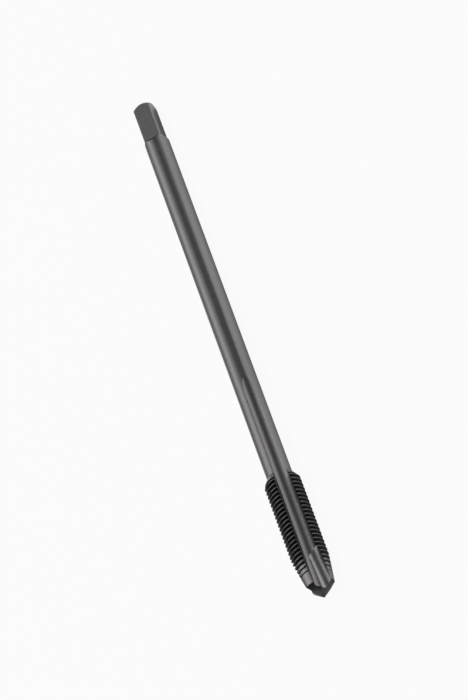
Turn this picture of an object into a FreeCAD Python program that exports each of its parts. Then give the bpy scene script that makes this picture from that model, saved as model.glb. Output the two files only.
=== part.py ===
import FreeCAD, Part
import math
import os

# Machine tap for a fine metric thread, one piece of hardened steel.
# It is modelled along +Z from the tip of its point at the origin,
# with the first flute facing -Y, and laid down at rest at the end.
# Millimetres and degrees throughout.

# Driving sizes along the axis
overall_length = 65.4
lead_length = 3.2
full_thread_end = 14.1
run_in_length = 0.95
flute_length = 23.2
square_length = 4.9
square_shoulder_length = 0.45
end_chamfer = 0.4

# Driving sizes across the axis
thread_diameter = 4.0
lead_small_diameter = 3.15
shank_diameter = 2.8
square_across_flats = 2.1
point_angle = 96.0

# Thread form
thread_pitch = 0.5
thread_depth = 0.31
flank_angle = 60.0
crest_flat = thread_pitch / 8
thread_phase = 0.0
helix_taper = 0.0
quarter_turn = 90.0

# Flutes, each a slot with a round floor, curved up to the cutting edge and straight at the heel
flute_count = 3
flute_core_diameter = 1.96
flute_floor_radius = 1.0
flute_offset = 0.13
heel_corner = 0.45
heel_wall_angle = 20.0
flute_runout_radius = 20.0
flute_runout_sweep = 20.0

# Spiral point, a second slot that slants forward and throws the chips ahead of the tap
spiral_point_length = 4.7
spiral_end_angle = 36.0
spiral_floor_radius = 0.72
spiral_offset_at_tip = 0.88
spiral_floor_at_tip = 0.42
spiral_slant = 5.7
spiral_rise = 2.5

# Driving square, turned from the first flute by this angle
square_turn = 44.0
square_sides = 4

# Room by which cutters overshoot the blank
overshoot = 1.0
groove_overshoot = 0.03

thread_radius = thread_diameter / 2
shank_radius = shank_diameter / 2
lead_small_radius = lead_small_diameter / 2
point_length = lead_small_radius / math.tan(math.radians(point_angle / 2))
lead_end = point_length + lead_length
run_in_end = full_thread_end + run_in_length
square_start = overall_length - square_length
reach = thread_radius + overshoot
flute_depth = flute_core_diameter / 2 + flute_floor_radius

origin = FreeCAD.Vector(0, 0, 0)
axis = FreeCAD.Vector(0, 0, 1)


def turned_blank():
    """The round blank before grinding: point, lead taper, thread body, neck, shank and end chamfer."""
    profile = [
        FreeCAD.Vector(0, 0, 0),
        FreeCAD.Vector(lead_small_radius, 0, point_length),
        FreeCAD.Vector(thread_radius, 0, lead_end),
        FreeCAD.Vector(thread_radius, 0, full_thread_end),
        FreeCAD.Vector(shank_radius, 0, run_in_end),
        FreeCAD.Vector(shank_radius, 0, overall_length - end_chamfer),
        FreeCAD.Vector(shank_radius - end_chamfer, 0, overall_length),
        FreeCAD.Vector(0, 0, overall_length),
    ]
    outline = Part.makePolygon(profile + [profile[0]])
    return Part.Face(outline).revolve(origin, axis, 360)


def slot_face(offset, depth, floor_radius, heel, heel_angle, height):
    """Cross-section of a grinding wheel's slot, open towards -Y.

    Its round floor is centred offset from the middle plane and depth from the
    axis. The floor curves up to the cutting edge. On the other side it ends
    at heel, and goes on as a straight wall that leans outwards.
    """
    heel_y = depth - math.sqrt(floor_radius ** 2 - (offset - heel) ** 2)
    lean = (reach - heel_y) * math.tan(math.radians(heel_angle))
    heel_foot = FreeCAD.Vector(heel, -heel_y, height)
    bottom = FreeCAD.Vector(offset, floor_radius - depth, height)
    rake = FreeCAD.Vector(offset + floor_radius, -depth, height)
    rake_mouth = FreeCAD.Vector(offset + floor_radius, -reach, height)
    heel_mouth = FreeCAD.Vector(heel - lean, -reach, height)
    edges = [
        Part.Arc(heel_foot, bottom, rake).toShape(),
        Part.LineSegment(rake, rake_mouth).toShape(),
        Part.LineSegment(rake_mouth, heel_mouth).toShape(),
        Part.LineSegment(heel_mouth, heel_foot).toShape(),
    ]
    return Part.Face(Part.Wire(edges))


def flute_face(height):
    """A flute's cross-section."""
    return slot_face(flute_offset, flute_depth, flute_floor_radius, -heel_corner, heel_wall_angle, height)


def flute_cutter():
    """One flute: a straight slot, then the arc along which the wheel leaves the shank."""
    straight = flute_face(-overshoot).extrude(axis * (flute_length + overshoot))
    wheel_y = flute_core_diameter / 2 + flute_runout_radius
    wheel_centre = FreeCAD.Vector(0, -wheel_y, flute_length)
    across = FreeCAD.Vector(1, 0, 0)
    runout = flute_face(flute_length).revolve(wheel_centre, across, -flute_runout_sweep)
    return straight.fuse(runout)


def spiral_point_cutter():
    """The slanted slot ground into each flute at the point, ending in a slanted step."""
    sideways = math.tan(math.radians(spiral_slant))
    inward = math.tan(math.radians(spiral_rise))
    back = spiral_point_length + reach
    length = back + overshoot
    offset = spiral_offset_at_tip - back * sideways
    depth = spiral_floor_at_tip + spiral_floor_radius + back * inward
    face = slot_face(offset, depth, spiral_floor_radius, offset - spiral_floor_radius, 0, back)
    slot = face.extrude(FreeCAD.Vector(length * sideways, length * inward, -length))
    corner = FreeCAD.Vector(-2 * reach, -2 * reach, spiral_point_length)
    behind = Part.makeBox(4 * reach, 4 * reach, 4 * reach, corner)
    step = FreeCAD.Vector(0, 0, spiral_point_length)
    behind.rotate(step, FreeCAD.Vector(0, 1, 0), -spiral_end_angle)
    return slot.cut(behind)


def thread_groove_cutter():
    """The right-hand helical groove between the crests, from the lead to the neck."""
    flank = math.tan(math.radians(flank_angle / 2))
    root_radius = thread_radius - thread_depth
    outer_radius = thread_radius + groove_overshoot
    half_mouth = (thread_pitch - crest_flat) / 2
    half_root = half_mouth - thread_depth * flank
    half_outer = half_mouth + groove_overshoot * flank
    corners = [
        FreeCAD.Vector(root_radius, 0, -half_root),
        FreeCAD.Vector(root_radius, 0, half_root),
        FreeCAD.Vector(outer_radius, 0, half_outer),
        FreeCAD.Vector(outer_radius, 0, -half_outer),
    ]
    section = Part.makePolygon(corners + [corners[0]])
    length = run_in_end - point_length
    helix = Part.makeLongHelix(thread_pitch, length, thread_radius, helix_taper)
    groove = Part.Wire(helix.Edges).makePipeShell([section], True, True)
    groove.translate(axis * point_length)
    groove.rotate(origin, axis, thread_phase)
    return groove


def square_cutters():
    """Four wedges that leave the driving square, each with a sloping shoulder to the shank."""
    flat = square_across_flats / 2
    slope = (shank_radius - flat) / square_shoulder_length
    outside = flat + overshoot
    side = [
        FreeCAD.Vector(flat, -reach, overall_length + overshoot),
        FreeCAD.Vector(flat, -reach, square_start),
        FreeCAD.Vector(outside, -reach, square_start - overshoot / slope),
        FreeCAD.Vector(outside, -reach, overall_length + overshoot),
    ]
    wedge = Part.Face(Part.makePolygon(side + [side[0]])).extrude(FreeCAD.Vector(0, 2 * reach, 0))
    wedge.rotate(origin, axis, square_turn)
    return around(wedge, square_sides)


def around(cutter, count):
    """Copies of a cutter spread evenly about the axis."""
    copies = []
    for index in range(count):
        turned = cutter.copy()
        turned.rotate(origin, axis, index * 360 / count)
        copies.append(turned)
    return copies


def rake_edge_angle():
    """Where a flute's curved floor meets the thread's outside, from -Y towards +X."""
    centre = math.hypot(flute_offset, flute_depth)
    spread = (thread_radius ** 2 + centre ** 2 - flute_floor_radius ** 2) / (2 * thread_radius * centre)
    return math.degrees(math.atan2(flute_offset, flute_depth) + math.acos(spread))


def heel_edge_angle():
    """Where a flute's straight wall meets the thread's outside, from -Y towards +X."""
    lean = math.radians(heel_wall_angle)
    reach_x = heel_corner + flute_offset
    foot_y = flute_depth - math.sqrt(flute_floor_radius ** 2 - reach_x ** 2)
    along = heel_corner * math.sin(lean) + foot_y * math.cos(lean)
    beyond = along ** 2 - heel_corner ** 2 - foot_y ** 2 + thread_radius ** 2
    travel = math.sqrt(beyond) - along
    edge_x = heel_corner + travel * math.sin(lean)
    return -math.degrees(math.atan2(edge_x, foot_y + travel * math.cos(lean)))


def laid_down(tap):
    """The tap at rest: both land edges of the first flute and the square's end on the floor."""
    heel_edge = heel_edge_angle()
    rake_edge = rake_edge_angle()
    middle = (heel_edge + rake_edge) / 2
    front_height = thread_radius * math.cos(math.radians(rake_edge - middle))
    tap.rotate(origin, axis, -middle)
    tap.rotate(origin, FreeCAD.Vector(1, 0, 0), quarter_turn)
    tap.rotate(origin, axis, quarter_turn)
    flat_edge = math.degrees(math.acos(square_across_flats / shank_diameter))
    side_angle = 360 / square_sides
    from_flat = (middle - square_turn + side_angle / 2) % side_angle - side_angle / 2
    off_corner = max(flat_edge - abs(from_flat), 0)
    tail_height = shank_radius * math.cos(math.radians(off_corner))
    span = overall_length - end_chamfer - full_thread_end
    slope = math.degrees(math.atan((front_height - tail_height) / span))
    tap.rotate(origin, FreeCAD.Vector(0, 1, 0), slope)
    box = tap.optimalBoundingBox()
    tap.translate(FreeCAD.Vector(-box.Center.x, -box.Center.y, -box.ZMin))
    return tap


def make_tap():
    """The blank with its thread, then fluted, pointed and squared."""
    tap = turned_blank()
    cutters = [thread_groove_cutter()]
    cutters += around(flute_cutter(), flute_count)
    cutters += around(spiral_point_cutter(), flute_count)
    cutters += square_cutters()
    for cutter in cutters:
        tap = tap.cut(cutter)
    return tap.Solids[0]


os.makedirs("parts", exist_ok=True)
tap = laid_down(make_tap())
tap.exportStep("parts/thread_tap.step")
print("volume", round(tap.Volume, 3), "valid", tap.isValid(), "faces", len(tap.Faces))
print("box", tap.optimalBoundingBox())
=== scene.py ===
# %% [markdown]
# # A thread tap in Blender
# The object is one hardened steel tap for a fine thread, lying on its side.
# It has a long plain shank with a driving square, three straight flutes,
# a right-hand thread that tapers off towards the point, and a slanted
# second cut in each flute, the spiral point, that throws the chips forward.
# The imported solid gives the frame. This script grinds the same tap again,
# with many more faces, and gives it the look of steam treated steel.

import math

import bpy
from mathutils import Matrix, Vector


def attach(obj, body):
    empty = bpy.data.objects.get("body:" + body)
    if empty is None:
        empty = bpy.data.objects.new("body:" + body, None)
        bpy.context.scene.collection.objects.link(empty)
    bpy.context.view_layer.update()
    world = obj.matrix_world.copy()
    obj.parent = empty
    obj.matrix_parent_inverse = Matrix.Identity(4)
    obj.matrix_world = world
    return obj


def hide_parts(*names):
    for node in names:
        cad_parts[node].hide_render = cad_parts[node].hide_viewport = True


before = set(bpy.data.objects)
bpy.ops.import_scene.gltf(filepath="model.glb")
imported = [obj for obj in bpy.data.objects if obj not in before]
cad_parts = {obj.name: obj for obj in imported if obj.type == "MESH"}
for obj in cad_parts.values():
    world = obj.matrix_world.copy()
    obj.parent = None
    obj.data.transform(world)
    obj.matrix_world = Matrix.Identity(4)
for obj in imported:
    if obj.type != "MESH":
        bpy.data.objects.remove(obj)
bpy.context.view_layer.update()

# %% [markdown]
# ## The tap's own sizes
# They are in millimetres and degrees. Lengths and diameters are those of the
# source. The floor of the flutes, the cut of the spiral point and the phase
# of the thread follow the photo a little more closely than the source does.
# The tap is drawn along +Z from the tip of its point, with its first flute
# towards -Y, because every cut of its real making is simple in that frame.

# %% Sizes
MM = 0.001
LENGTH = 65.4
THREAD_RADIUS = 2.0
SHANK_RADIUS = 1.4
LEAD_SMALL_RADIUS = 1.575
LEAD_LENGTH = 3.2
POINT_HALF_ANGLE = 48.0
POINT_LENGTH = LEAD_SMALL_RADIUS / math.tan(math.radians(POINT_HALF_ANGLE))
LEAD_END = POINT_LENGTH + LEAD_LENGTH
THREAD_END = 14.1
RUN_IN_END = 15.05
CHAMFER = 0.4
PITCH = 0.5
THREAD_DEPTH = 0.31
THREAD_FLANK = 30.0
THREAD_ROOT = 0.04
CREST_FLAT = PITCH / 8
THREAD_PHASE = 68.0
FLUTES = 3
FLUTE_LENGTH = 23.2
FLUTE_CORE = 0.98
FLUTE_FLOOR = 0.95
FLUTE_OFFSET = 0.16
FLUTE_DEPTH = FLUTE_CORE + FLUTE_FLOOR
HEEL_CORNER = 0.45
HEEL_WALL = 20.8
RUNOUT_RADIUS = 20.0
RUNOUT_SWEEP = 20.0
POINT_CUT_LENGTH = 4.1
POINT_CUT_RUNOUT = 2.1
POINT_CUT_WHEEL = 1.5
POINT_CUT_FLOOR = 0.84
POINT_CUT_OFFSET = 0.81
POINT_CUT_AT_TIP = 0.6
POINT_CUT_SLANT = 4.4
POINT_CUT_RISE = 2.1
SQUARE_HALF = 1.05
SQUARE_LENGTH = 4.9
SQUARE_SHOULDER = 0.45
SQUARE_TURN = 44.0
OVERSHOOT = 1.0
GROOVE_OVERSHOOT = 0.06
REACH = THREAD_RADIUS + OVERSHOOT
ends = {"point": POINT_LENGTH, "lead": LEAD_END, "thread": THREAD_END, "neck": RUN_IN_END}
print("ends along the axis in mm:", {name: round(end, 3) for name, end in ends.items()})

# %% [markdown]
# ## Where the tap lies
# It rests on the two land edges of its first flute and on the square's end.
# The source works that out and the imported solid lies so. Here the tap's
# frame is set by where its tip is, which way its axis runs, and by how far
# it is rolled about that axis.

# %% The tap's frame
TIP = Vector((-32.702863, 0.0, 1.893327))
AXIS = Vector((0.99997089, 0.0, -0.00762985)).normalized()
ROLL = 6.0647027


def tap_matrix():
    """Takes a point of the tap's own frame, in mm, to the row frame, in metres."""
    roll = Matrix.Rotation(math.radians(-ROLL), 4, "Z")
    lay = Matrix(((0, 0, 1, 0), (1, 0, 0, 0), (0, 1, 0, 0), (0, 0, 0, 1)))
    tilt = Vector((1, 0, 0)).rotation_difference(AXIS).to_matrix().to_4x4()
    return Matrix.Scale(MM, 4) @ Matrix.Translation(TIP) @ tilt @ lay @ roll


TO_ROW = tap_matrix()
print("tip in mm:", [round(v * 1000, 3) for v in TO_ROW @ Vector((0, 0, 0))])
print("end in mm:", [round(v * 1000, 3) for v in TO_ROW @ Vector((0, 0, LENGTH))])

# %% [markdown]
# ## The camera
# The outline of the tap narrows towards the far end, which fixes how long
# the lens is, and the lengths along it fix how far the tap leans towards
# the camera. `LOOK` is the roll of the view round the tap's axis, measured
# up from the floor: the lens looks straight into the second flute. `LEAN`
# is how far the point turns towards the lens.

# %% Camera
SECOND_FLUTE = 30.0
LOOK = SECOND_FLUTE + ROLL
LEAN = 31.0
LENS = 166.83
DISTANCE = 348.1
AIM_FROM_TIP = 31.51
PICTURE_ALONG = 0.34603
PICTURE_ACROSS = 0.93822
NUDGE_RIGHT = 0.075


def camera_matrix():
    """The camera's place and turn, from the view's angles about the tap."""
    towards_tip = -AXIS
    side = Vector((0, -math.cos(math.radians(LOOK)), math.sin(math.radians(LOOK))))
    side = (side - AXIS * side.dot(AXIS)).normalized()
    lean = math.radians(LEAN)
    back = side * math.cos(lean) + towards_tip * math.sin(lean)
    along = towards_tip * math.cos(lean) - side * math.sin(lean)
    across = side.cross(towards_tip)
    right = along * PICTURE_ALONG + across * PICTURE_ACROSS
    up = across * PICTURE_ALONG - along * PICTURE_ACROSS
    place = TIP + AXIS * AIM_FROM_TIP + back * DISTANCE + right * NUDGE_RIGHT
    turn = Matrix((right, up, back)).transposed().to_4x4()
    return Matrix.Translation(place * MM) @ turn


camera_data = bpy.data.cameras.new("camera")
camera_data.lens = LENS
camera_data.clip_start = 0.01
camera_data.clip_end = 10.0
camera = bpy.data.objects.new("camera", camera_data)
camera.matrix_world = camera_matrix()
bpy.context.collection.objects.link(camera)
bpy.context.scene.camera = camera
print("camera in mm:", [round(v * 1000, 1) for v in camera.matrix_world.translation])

# %% [markdown]
# ## The drawings that the tree sweeps
# A tap is turned, threaded, fluted, pointed and squared, and each step is
# one drawn outline that is spun or swept. The outlines could be curve
# objects, but a tree reads one mesh more simply: each outline is a loop of
# edges, and the attribute `drawing` tells the tree which one it is.

# %% Outlines
BLANK, SLOT, SLOT_PATH, POINT_SLOT, POINT_PATH, THREAD_SLOT, WEDGE = range(7)
ARC_STEPS = 36
RUNOUT_STEPS = 30


def arc(centre_x, centre_y, radius, first, last):
    """Points on an arc, with its angles in degrees from +X."""
    turns = [math.radians(first + (last - first) * i / ARC_STEPS) for i in range(ARC_STEPS + 1)]
    return [(centre_x + radius * math.cos(t), centre_y + radius * math.sin(t)) for t in turns]


def slot_outline(floor_radius, heel, wall):
    """A wheel's slot, open towards -Y, its round floor centred on the origin and cut off at heel."""
    first = math.degrees(math.acos(heel / floor_radius))
    floor = arc(0, 0, floor_radius, 0, first)
    heel_x, heel_y = floor[-1]
    lean = (REACH + heel_y) * math.tan(math.radians(wall))
    return floor + [(heel_x - lean, -REACH), (floor_radius, -REACH)]


def thread_outline():
    """The groove between two crests, -x being its depth: straight flanks and a small rounded root."""
    flank = math.tan(math.radians(THREAD_FLANK))
    half_mouth = (PITCH - CREST_FLAT) / 2
    half_root = half_mouth - THREAD_DEPTH * flank
    upper = [
        (-GROOVE_OVERSHOOT, half_mouth + GROOVE_OVERSHOOT * flank),
        (THREAD_DEPTH - THREAD_ROOT, half_root + THREAD_ROOT * flank),
        (THREAD_DEPTH - THREAD_ROOT * 0.3, half_root - THREAD_ROOT * 0.1),
        (THREAD_DEPTH, half_root - THREAD_ROOT * 0.9),
    ]
    lower = [(depth, -half) for depth, half in upper[::-1]]
    return [(-depth, half) for depth, half in upper + lower]


def wedge_outline():
    """What the square's grinding takes off one side: x is out from the axis, y is along it."""
    slope = (SHANK_RADIUS - SQUARE_HALF) / SQUARE_SHOULDER
    start = LENGTH - SQUARE_LENGTH
    return [
        (SQUARE_HALF, LENGTH + OVERSHOOT),
        (SQUARE_HALF, start),
        (SQUARE_HALF + OVERSHOOT, start - OVERSHOOT / slope),
        (SQUARE_HALF + OVERSHOOT, LENGTH + OVERSHOOT),
    ]


blank = [
    (0.0, 0.0),
    (LEAD_SMALL_RADIUS, POINT_LENGTH),
    (THREAD_RADIUS, LEAD_END),
    (THREAD_RADIUS, THREAD_END),
    (SHANK_RADIUS, RUN_IN_END),
    (SHANK_RADIUS, LENGTH - CHAMFER),
    (SHANK_RADIUS - CHAMFER, LENGTH),
]
slot_path = [(0.0, -OVERSHOOT), (0.0, FLUTE_LENGTH * 0.5)]
wheel = RUNOUT_RADIUS - FLUTE_FLOOR
slot_path += [(y, z) for z, y in arc(FLUTE_LENGTH, -wheel, wheel, 90, 90 - RUNOUT_SWEEP)]
runout = [POINT_CUT_LENGTH + POINT_CUT_RUNOUT * i / RUNOUT_STEPS for i in range(RUNOUT_STEPS + 1)]
flute_slot = slot_outline(FLUTE_FLOOR, -HEEL_CORNER - FLUTE_OFFSET, HEEL_WALL)
point_slot = slot_outline(POINT_CUT_FLOOR, -POINT_CUT_FLOOR, 0.0)
drawings = {
    BLANK: ([(radius, 0.0, z) for radius, z in blank], False),
    SLOT: ([(x, y, 0.0) for x, y in flute_slot], True),
    SLOT_PATH: ([(0.0, y, z) for y, z in slot_path], False),
    POINT_SLOT: ([(x, y, 0.0) for x, y in point_slot], True),
    POINT_PATH: ([(0.0, 0.0, z) for z in [-OVERSHOOT] + runout], False),
    THREAD_SLOT: ([(x, y, 0.0) for x, y in thread_outline()], True),
    WEDGE: ([(x, y, 0.0) for x, y in wedge_outline()], True),
}


def drawing_mesh():
    """All outlines as loose loops of edges in one mesh, numbered by the attribute drawing."""
    points, edges, numbers = [], [], []
    for number, (outline, closed) in drawings.items():
        first = len(points)
        points += outline
        numbers += [number] * len(outline)
        edges += [(first + i, first + i + 1) for i in range(len(outline) - 1)]
        if closed:
            edges.append((len(points) - 1, first))
    mesh = bpy.data.meshes.new("tap_drawings")
    mesh.from_pydata(points, edges, [])
    attribute = mesh.attributes.new("drawing", "INT", "POINT")
    attribute.data.foreach_set("value", numbers)
    return mesh


outline_mesh = drawing_mesh()
print("outlines:", len(drawings), "points:", len(outline_mesh.vertices))

# %% [markdown]
# ## The tree
# Geometry Nodes do the grinding, since every cut follows a rule: spin the
# blank, wind the groove on a spiral, sweep the wheel's slot along the flute
# and out along its arc, repeat it round the axis, and subtract. The faces of
# each cutter carry its number, and the faces that it cuts keep it, so the
# material can tell them apart. A small class keeps the making of nodes short.


# %% A short way to make nodes
class Nodes:
    """Makes nodes in a tree: the type, its settings, then the values or links of its sockets.

    A socket is given by its name, or as i and its number where names repeat.
    """

    def __init__(self, tree):
        self.tree = tree

    def __call__(self, kind, settings=None, **sockets):
        node = self.tree.nodes.new(kind)
        for name, value in (settings or {}).items():
            setattr(node, name, value)
        for name, value in sockets.items():
            numbered = name[0] == "i" and name[1:].isdigit()
            socket = node.inputs[int(name[1:]) if numbered else name]
            if hasattr(value, "is_output"):
                self.tree.links.new(value, socket)
            else:
                socket.default_value = value
        return node

    def out(self, kind, settings=None, **sockets):
        """The first output of a new node."""
        return self(kind, settings, **sockets).outputs[0]


# %% Grinding tree
FACETS = 144
WELD = 0.001
TREE_INPUTS = [
    ("Facets", "NodeSocketInt", FACETS),
    ("Pitch", "NodeSocketFloat", PITCH),
    ("Thread turns", "NodeSocketFloat", (RUN_IN_END - POINT_LENGTH + PITCH) / PITCH),
    ("Thread start", "NodeSocketFloat", POINT_LENGTH - PITCH / 2),
    ("Thread phase", "NodeSocketFloat", math.radians(THREAD_PHASE)),
    ("Flutes", "NodeSocketInt", FLUTES),
    ("Flute offset", "NodeSocketFloat", FLUTE_OFFSET),
    ("Flute depth", "NodeSocketFloat", FLUTE_DEPTH),
    ("Square turn", "NodeSocketFloat", math.radians(SQUARE_TURN)),
    ("Steel", "NodeSocketMaterial", None),
]


def grinding_tree():
    """Spins the blank and takes off the groove, the flutes, the point cuts and the square's sides."""
    tree = bpy.data.node_groups.new("grind_tap", "GeometryNodeTree")
    tree.interface.new_socket("Geometry", in_out="INPUT", socket_type="NodeSocketGeometry")
    for name, kind, _ in TREE_INPUTS:
        tree.interface.new_socket(name, in_out="INPUT", socket_type=kind)
    tree.interface.new_socket("Geometry", in_out="OUTPUT", socket_type="NodeSocketGeometry")
    make = Nodes(tree)
    given = make("NodeGroupInput").outputs

    def maths(operation, a, b=0.0):
        """One Math node."""
        return make.out("ShaderNodeMath", {"operation": operation}, i0=a, i1=b)

    def vector(x=0.0, y=0.0, z=0.0):
        """Three numbers as one vector."""
        return make.out("ShaderNodeCombineXYZ", X=x, Y=y, Z=z)

    def drawn(number):
        """One outline as a curve."""
        name = make.out("GeometryNodeInputNamedAttribute", {"data_type": "INT"}, Name="drawing")
        equal = {"data_type": "INT", "operation": "EQUAL"}
        same = make.out("FunctionNodeCompare", equal, i2=name, i3=number)
        alone = make.out("GeometryNodeSeparateGeometry", Geometry=given["Geometry"], Selection=same)
        return make.out("GeometryNodeMeshToCurve", Mesh=alone)

    def swept(path, outline, scale=1.0):
        """An outline swept along a path, with its ends closed."""
        sockets = {"Curve": path, "Profile Curve": outline, "Scale": scale, "Fill Caps": True}
        return make.out("GeometryNodeCurveToMesh", **sockets)

    def marked(geometry, number):
        """The same with a number on its faces, which stays on the faces that it cuts."""
        on_faces = {"data_type": "FLOAT", "domain": "FACE"}
        sockets = {"Geometry": geometry, "Name": "cut", "Value": float(number)}
        return make.out("GeometryNodeStoreNamedAttribute", on_faces, **sockets)

    def moved(geometry, shift=(0.0, 0.0, 0.0), turn=(0.0, 0.0, 0.0)):
        """The same, turned and then shifted."""
        return make.out("GeometryNodeTransform", Geometry=geometry, Translation=shift, Rotation=turn)

    def around(geometry, count, step):
        """Copies about the axis, step radians apart."""
        points = make.out("GeometryNodePoints", Count=count)
        index = make.out("GeometryNodeInputIndex")
        turn = vector(z=maths("MULTIPLY", index, step))
        sockets = {"Points": points, "Instance": geometry, "Rotation": turn}
        placed = make.out("GeometryNodeInstanceOnPoints", **sockets)
        return make.out("GeometryNodeRealizeInstances", Geometry=placed)

    def without(body, cutter):
        """The body less the cutter."""
        take_off = {"operation": "DIFFERENCE", "solver": "MANIFOLD"}
        return make.out("GeometryNodeMeshBoolean", take_off, **{"Mesh 1": body, "Mesh 2": cutter})

    # The turned blank: the outline's x becomes the radius of a circle swept up the axis
    place = make.out("GeometryNodeInputPosition")
    parts = make("ShaderNodeSeparateXYZ", Vector=place).outputs
    radius = make.out("GeometryNodeSetCurveRadius", Curve=drawn(BLANK), Radius=parts["X"])
    upright = make.out("GeometryNodeSetPosition", Geometry=radius, Position=vector(z=parts["Z"]))
    circle = make.out("GeometryNodeCurvePrimitiveCircle", Resolution=given["Facets"], Radius=1.0)
    spun = swept(upright, circle, make.out("GeometryNodeInputRadius"))
    body = marked(make.out("GeometryNodeMergeByDistance", Geometry=spun, Distance=WELD), BLANK)

    # The thread groove on its spiral, which is right hand when it is reversed
    turns = given["Thread turns"]
    height = maths("MULTIPLY", given["Pitch"], turns)
    radii = {"Start Radius": THREAD_RADIUS, "End Radius": THREAD_RADIUS}
    spiral = make.out("GeometryNodeCurveSpiral", Resolution=given["Facets"], Rotations=turns,
                      Height=height, Reverse=True, **radii)
    steady = make.out("GeometryNodeSetCurveNormal", {"mode": "Z_UP"}, Curve=spiral)
    groove = marked(swept(steady, drawn(THREAD_SLOT)), THREAD_SLOT)
    groove = moved(groove, vector(z=given["Thread start"]), vector(z=given["Thread phase"]))
    body = without(body, groove)

    # The flutes, swept along the tap and out along the wheel's arc
    slot = marked(swept(drawn(SLOT_PATH), drawn(SLOT)), SLOT)
    slot = moved(slot, vector(x=given["Flute offset"], y=maths("MULTIPLY", given["Flute depth"], -1.0)))
    step = maths("DIVIDE", math.tau, given["Flutes"])
    body = without(body, around(slot, given["Flutes"], step))

    # The slanted cuts of the spiral point: a straight slot, leaned sideways and in towards
    # the tip, which leaves the flute on the small wheel's curve
    sideways = math.tan(math.radians(POINT_CUT_SLANT))
    inward = math.tan(math.radians(POINT_CUT_RISE))
    cut = marked(swept(drawn(POINT_PATH), drawn(POINT_SLOT)), POINT_SLOT)
    past = maths("MAXIMUM", maths("SUBTRACT", parts["Z"], POINT_CUT_LENGTH), 0.0)
    leaving = maths("DIVIDE", maths("MULTIPLY", past, past), 2 * POINT_CUT_WHEEL)
    out = maths("ADD", maths("MULTIPLY", parts["Z"], inward), leaving)
    offset = vector(maths("MULTIPLY", parts["Z"], -sideways), maths("MULTIPLY", out, -1.0))
    cut = make.out("GeometryNodeSetPosition", Geometry=cut, Offset=offset)
    cut = moved(cut, (POINT_CUT_OFFSET, -POINT_CUT_AT_TIP - POINT_CUT_FLOOR, 0.0))
    body = without(body, around(cut, given["Flutes"], step))

    # The square, two opposite sides at a time
    across = make.out("GeometryNodeCurvePrimitiveLine", Start=(0.0, 0.0, -REACH), End=(0.0, 0.0, REACH))
    wedge = moved(marked(swept(across, drawn(WEDGE)), WEDGE), turn=(math.pi / 2, 0.0, 0.0))
    for quarter in (0.0, math.pi / 2):
        side = moved(wedge, turn=vector(z=maths("ADD", given["Square turn"], quarter)))
        body = without(body, around(side, 2, math.pi))

    body = make.out("GeometryNodeRealizeInstances", Geometry=body)
    body = make.out("GeometryNodeSetMaterial", Geometry=body, Material=given["Steel"])
    make("NodeGroupOutput", Geometry=body)
    return tree


def set_inputs(modifier, tree, values):
    """Sets a modifier's inputs by the identifiers of the tree's named sockets."""
    names = {item.name: item.identifier for item in tree.interface.items_tree if item.in_out == "INPUT"}
    for name, value in values.items():
        modifier[names[name]] = value


SHARP_ANGLE = 24.0
steel = bpy.data.materials.new("steam_treated_steel")
tree = grinding_tree()
draft = bpy.data.objects.new("tap_draft", outline_mesh)
bpy.context.collection.objects.link(draft)
modifier = draft.modifiers.new("grind", "NODES")
modifier.node_group = tree
set_inputs(modifier, tree, {name: value for name, _, value in TREE_INPUTS if value is not None})
set_inputs(modifier, tree, {"Steel": steel})
evaluated = draft.evaluated_get(bpy.context.evaluated_depsgraph_get())
ground = bpy.data.meshes.new_from_object(evaluated)
draft.modifiers.remove(modifier)
bpy.data.objects.remove(draft)
ground.transform(TO_ROW)
ground.name = "ground_tap"
for polygon in ground.polygons:
    polygon.use_smooth = True
ground.set_sharp_from_angle(angle=math.radians(SHARP_ANGLE))
tap = bpy.data.objects.new("ground_tap", ground)
bpy.context.collection.objects.link(tap)
ground.calc_loop_triangles()
print("tap: faces", len(ground.polygons), "triangles", len(ground.loop_triangles))
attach(tap, "root")
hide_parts("thread_tap")

# %% [markdown]
# ## Sums in a material
# A mask such as "which surface is it, and how far along the tap" is a sum of
# several terms. Written with nodes it takes a dozen calls, so one small class
# lets Python's own operators add the Math nodes.


# %% Sums as nodes
class Sum:
    """A socket that takes part in Python sums: each operator adds one Math node."""

    def __init__(self, make, socket):
        self.make = make
        self.socket = socket

    def of(self, operation, *others):
        """One Math node on this sum and on others, which are sums or plain numbers."""
        sockets = {f"i{i + 1}": getattr(other, "socket", other) for i, other in enumerate(others)}
        node = self.make.out("ShaderNodeMath", {"operation": operation}, i0=self.socket, **sockets)
        return Sum(self.make, node)

    def reflected(self, operation, other):
        """The same with the plain number first."""
        node = self.make.out("ShaderNodeMath", {"operation": operation}, i0=other, i1=self.socket)
        return Sum(self.make, node)

    def __add__(self, other):
        return self.of("ADD", other)

    def __sub__(self, other):
        return self.of("SUBTRACT", other)

    def __mul__(self, other):
        return self.of("MULTIPLY", other)

    def __radd__(self, other):
        return self.reflected("ADD", other)

    def __rsub__(self, other):
        return self.reflected("SUBTRACT", other)

    def __rmul__(self, other):
        return self.reflected("MULTIPLY", other)

    def step(self, low, high):
        """0 below low, 1 above high, smooth between them, or the other way round if high is less."""
        falls = high < low
        limits = {"From Min": min(low, high), "From Max": max(low, high)}
        limits.update({"To Min": float(falls), "To Max": float(not falls)})
        smooth = {"interpolation_type": "SMOOTHSTEP"}
        return Sum(self.make, self.make.out("ShaderNodeMapRange", smooth, Value=self.socket, **limits))

    def equals(self, number):
        """1 where the sum is this whole number, else 0."""
        return self.of("COMPARE", float(number), 0.2)


# %% [markdown]
# ## Where a point is on the tap
# Every mark on the tap follows its making: grinding lines run round the
# shank and along the flutes, and wear sits under the crests and on corners.
# So the material first turns the object's coordinates into the tap's own:
# the distance along it, the distance from its axis and the angle about it.


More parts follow.
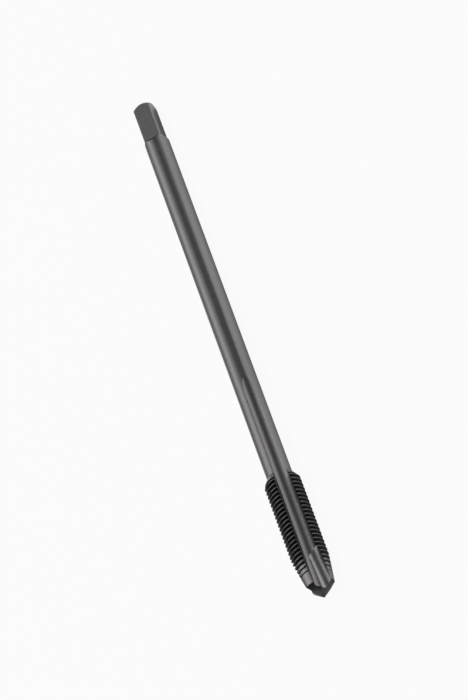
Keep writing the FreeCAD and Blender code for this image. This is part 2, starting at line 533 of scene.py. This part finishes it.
# %% Tap coordinates in the material
def tap_coordinates(make):
    """A point's x, y and place along the axis, its distance from the axis, and its angle in turns."""
    where = make("ShaderNodeTexCoord").outputs["Object"]
    from_tip = make.out("ShaderNodeVectorMath", {"operation": "SUBTRACT"}, i0=where, i1=TIP * MM)
    parts = []
    for row in TO_ROW.to_3x3().inverted():
        direction = Vector(row)
        node = make("ShaderNodeVectorMath", {"operation": "DOT_PRODUCT"}, i0=from_tip, i1=direction)
        parts.append(Sum(make, node.outputs["Value"]))
    x, y, along = parts
    radius = (x * x + y * y).of("POWER", 0.5)
    turns = x.of("ARCTAN2", y * -1.0) * (1 / math.tau)
    return x, y, along, radius, turns


def point(make, x, y, z):
    """Three sums as one vector."""
    return make.out("ShaderNodeCombineXYZ", X=x.socket, Y=y.socket, Z=z.socket)


def noise(make, vector, scale, detail=2.0):
    """Noise about 0.5."""
    return Sum(make, make.out("ShaderNodeTexNoise", Vector=vector, Scale=scale, Detail=detail))


# %% [markdown]
# ## Steam treated steel
# The tap is ground bright, then treated in steam, which leaves a thin dark
# oxide with a satin sheen. The spiral point is reground last, so it is the
# lightest and smoothest, and the lands of the lead come next. The thread's
# groove, the cone and the crests are darkened as painted shade, and the
# square's sides are a little darker.
# Mottle of half a millimetre and a far finer grain break up the oxide, it is
# worn thin just under the crests and at the square's corners, and grinding
# lines show through it, round the shank and along the flutes.

# %% Steel
MOTTLE_PER_MM = 1.6
GRAIN_PER_MM = 22.0
RINGS_PER_MM = 60.0
STREAKS_PER_MM = 40.0
REGROUND_END = 3.2
CREST_START = 4.0
CREST_FADE = 0.5
SHANK_FADE = 0.3
EDGE_BLUR = 0.02
WEAR_DEPTH = 0.07
BUMP_STRENGTH = 0.16
BUMP_HEIGHT = 0.01 * MM
OXIDE = (0.226, 0.218, 0.222)
OXIDE_THIN = (0.313, 0.303, 0.307)
# Near-black colour, used as painted shade in the thread's groove, on the cone and on the crests, and a
# little on the square's sides
SHADE_AND_DARK_OXIDE = (0.036, 0.035, 0.037)
GROUND = (0.44, 0.43, 0.43)


def mix(make, factor, first, second):
    """Two colours, by a sum between 0 and 1."""
    first, second = (c if hasattr(c, "is_output") else (*c, 1.0) for c in (first, second))
    node = make("ShaderNodeMix", {"data_type": "RGBA"}, i0=factor.socket, i6=first, i7=second)
    return node.outputs[2]


def finish_steel():
    """Gives the steel its oxide, grinding lines, wear and painted shade."""
    steel.use_nodes = True
    steel.node_tree.nodes.clear()
    make = Nodes(steel.node_tree)
    x, y, along, radius, turns = tap_coordinates(make)
    around_line = point(make, turns * 2.0, radius * 3.0, along * RINGS_PER_MM)
    flute_line = point(make, x * STREAKS_PER_MM, y * STREAKS_PER_MM, along * 1.5)
    spot = point(make, x, y, along)
    mottle = noise(make, spot, MOTTLE_PER_MM, 4.0)
    grain = noise(make, spot, GRAIN_PER_MM, 3.0)
    rings = noise(make, around_line, 1.0, 3.0)
    streaks = noise(make, flute_line, 1.0, 2.0)

    # Which surface is it: each cut left its number on the faces that it made
    cut = Sum(make, make("ShaderNodeAttribute", {"attribute_name": "cut"}).outputs["Fac"])
    numbers = (BLANK, THREAD_SLOT, POINT_SLOT, WEDGE)
    turned, groove, point_cut, square = (cut.equals(number) for number in numbers)
    shank = turned * along.step(THREAD_END + SHANK_FADE, RUN_IN_END)
    past_lead = along.step(REGROUND_END, CREST_START)
    crest = turned * past_lead * along.step(THREAD_END + CREST_FADE, THREAD_END)
    past_cone = along.step(POINT_LENGTH - EDGE_BLUR, POINT_LENGTH + EDGE_BLUR)
    lead = turned * past_cone * (1 - past_lead)
    cone = turned * (1 - past_cone)

    # Wear along edges: the flanks just under the crests, and the long corners of the square
    worn = radius.step(THREAD_RADIUS - WEAR_DEPTH, THREAD_RADIUS) * groove
    worn = worn + radius.step(SHANK_RADIUS - WEAR_DEPTH, SHANK_RADIUS - EDGE_BLUR / 2) * square

    # How thin or reground the oxide is, and where painted shade darkens it, then the colour, roughness
    # and bump that follow
    lines = rings * shank + streaks * (1 - shank)
    thin = (mottle * 0.3 + grain * 0.7 + lines * 0.5 + worn * 0.3).step(0.45, 1.05)
    # Painted shade: the thread's groove, the cone and the crests are darkened towards the near-black
    # colour, and the square's sides a little
    painted_shade_and_oxide = groove * (1 - worn * 0.4) + cone * 0.9 + crest * 0.4 + square * 0.1
    bright = lead * 0.06 + point_cut * 0.64
    colour = mix(make, thin, OXIDE, OXIDE_THIN)
    colour = mix(make, painted_shade_and_oxide, colour, SHADE_AND_DARK_OXIDE)
    colour = mix(make, bright, colour, GROUND)
    rough = 0.28 + shank * 0.04 + mottle * 0.03 + grain * 0.08 - point_cut * 0.04
    height = rings * shank * 0.6 + streaks * (1 - shank) * 0.5 + grain * 0.5
    relief = {"Strength": BUMP_STRENGTH, "Distance": BUMP_HEIGHT, "Height": height.socket}
    bump = make.out("ShaderNodeBump", **relief)
    looks = {"Base Color": colour, "Metallic": 1.0, "Roughness": rough.socket, "Normal": bump}
    make("ShaderNodeOutputMaterial", Surface=make.out("ShaderNodeBsdfPrincipled", **looks))


finish_steel()
print("steel nodes:", len(steel.node_tree.nodes))

# %% [markdown]
# ## Floor and light
# The photo stands on pure white. A floor that is lit to white would light
# the tap's underside too much, so the floor is pale, and only what the
# camera or a reflection sees of it is lifted to white. Some of its own
# shading stays, which keeps the tap's shadow. Close to where the tap lies,
# the white that reflections see in the floor is darkened by ambient
# occlusion, a painted contact shade that gives the tap's lower side depth.


# %% Floor
FLOOR_HALF = 3.0
FLOOR_PALE = (0.8, 0.8, 0.8, 1.0)
WHITE = (1.0, 1.0, 1.0, 1.0)
WHITE_SHARE = 0.94
NEAR_TAP = 6.0 * MM
NEAR_SHADE = 1.25


def pale_floor():
    """A plain pale floor that shows as white and keeps a soft shadow."""
    material = bpy.data.materials.new("pale_floor")
    material.use_nodes = True
    material.node_tree.nodes.clear()
    make = Nodes(material.node_tree)
    path = make("ShaderNodeLightPath").outputs
    pale = make.out("ShaderNodeBsdfDiffuse", Color=FLOOR_PALE)
    white = make.out("ShaderNodeEmission", Color=WHITE, Strength=1.0)
    # Painted contact shade: ambient occlusion near the tap darkens the white that reflections see in
    # the floor
    near = make("ShaderNodeAmbientOcclusion", {"samples": 8}, Distance=NEAR_TAP).outputs["AO"]
    open_floor = Sum(make, near).of("POWER", NEAR_SHADE)
    share = Sum(make, path["Is Glossy Ray"]) + Sum(make, path["Is Transmission Ray"])
    share = share * open_floor + Sum(make, path["Is Camera Ray"])
    share = share.of("MINIMUM", 1.0) * WHITE_SHARE
    both = make.out("ShaderNodeMixShader", i0=share.socket, i1=pale, i2=white)
    make("ShaderNodeOutputMaterial", Surface=both)
    signs = ((-1, -1), (1, -1), (1, 1), (-1, 1))
    corners = [(FLOOR_HALF * x, FLOOR_HALF * y, 0.0) for x, y in signs]
    mesh = bpy.data.meshes.new("floor")
    mesh.from_pydata(corners, [], [(0, 1, 2, 3)])
    mesh.materials.append(material)
    floor = bpy.data.objects.new("floor", mesh)
    bpy.context.collection.objects.link(floor)


pale_floor()

# %% [markdown]
# ## Two long highlights
# Along the shank the photo shows two light bands with a dark one between.
# The band below is the white floor in the steel. The one above is a narrow
# lamp inside a wide one, so it fades at its sides, and the dark band is the
# dim room behind the camera. Both lamps are much longer than the tap and
# lean `LAMP_LEAN` towards its square, because level surfaces mirror the lens
# that way and the slanted cuts of the point mirror it the other way.


# %% Lights
LAMP_LEAN = 8.0
ROOM_LEVEL = 0.13
HORIZON_GLOW = 0.30
GLOW_TOP = 0.65
GLOW_FOOT = -0.05


def soft_lamp(name, turn, width, length, distance, radiance):
    """A long area lamp that faces the tap, its length and distance in metres.

    turn is its angle about the tap, up from the floor in front, and width the
    angle that it spans across. radiance is how bright its face is.
    """
    lean = math.radians(LAMP_LEAN)
    turn = math.radians(turn)
    back = Vector((math.sin(lean), -math.cos(turn) * math.cos(lean), math.sin(turn) * math.cos(lean)))
    along = (Vector((1, 0, 0)) - back * back.x).normalized()
    data = bpy.data.lights.new(name, "AREA")
    data.shape = "RECTANGLE"
    data.size = length
    data.size_y = 2 * distance * math.tan(math.radians(width / 2))
    data.energy = radiance * math.pi * data.size * data.size_y
    lamp = bpy.data.objects.new(name, data)
    facing = Matrix((along, back.cross(along), back)).transposed().to_4x4()
    lamp.matrix_world = Matrix.Translation(back * distance) @ facing
    bpy.context.collection.objects.link(lamp)


def dim_room():
    """A grey room, lighter near the horizon where the white floor lights its walls."""
    world = bpy.data.worlds.new("dim_room")
    world.use_nodes = True
    world.node_tree.nodes.clear()
    make = Nodes(world.node_tree)
    direction = make("ShaderNodeTexCoord").outputs["Generated"]
    height = Sum(make, make("ShaderNodeSeparateXYZ", Vector=direction).outputs["Z"])
    glow = height.step(GLOW_TOP, GLOW_FOOT)
    level = glow * glow * HORIZON_GLOW + ROOM_LEVEL
    colour = make.out("ShaderNodeCombineColor", i0=level.socket, i1=level.socket, i2=level.socket)
    make("ShaderNodeOutputWorld", Surface=make.out("ShaderNodeBackground", Color=colour))
    bpy.context.scene.world = world


soft_lamp("over_lamp", turn=109.0, width=32.0, length=1.3, distance=0.5, radiance=0.72)
soft_lamp("wide_lamp", turn=105.0, width=76.0, length=1.4, distance=0.55, radiance=0.40)
dim_room()
bpy.context.scene.view_settings.view_transform = "Standard"
print("lamps:", [data.name for data in bpy.data.lights])
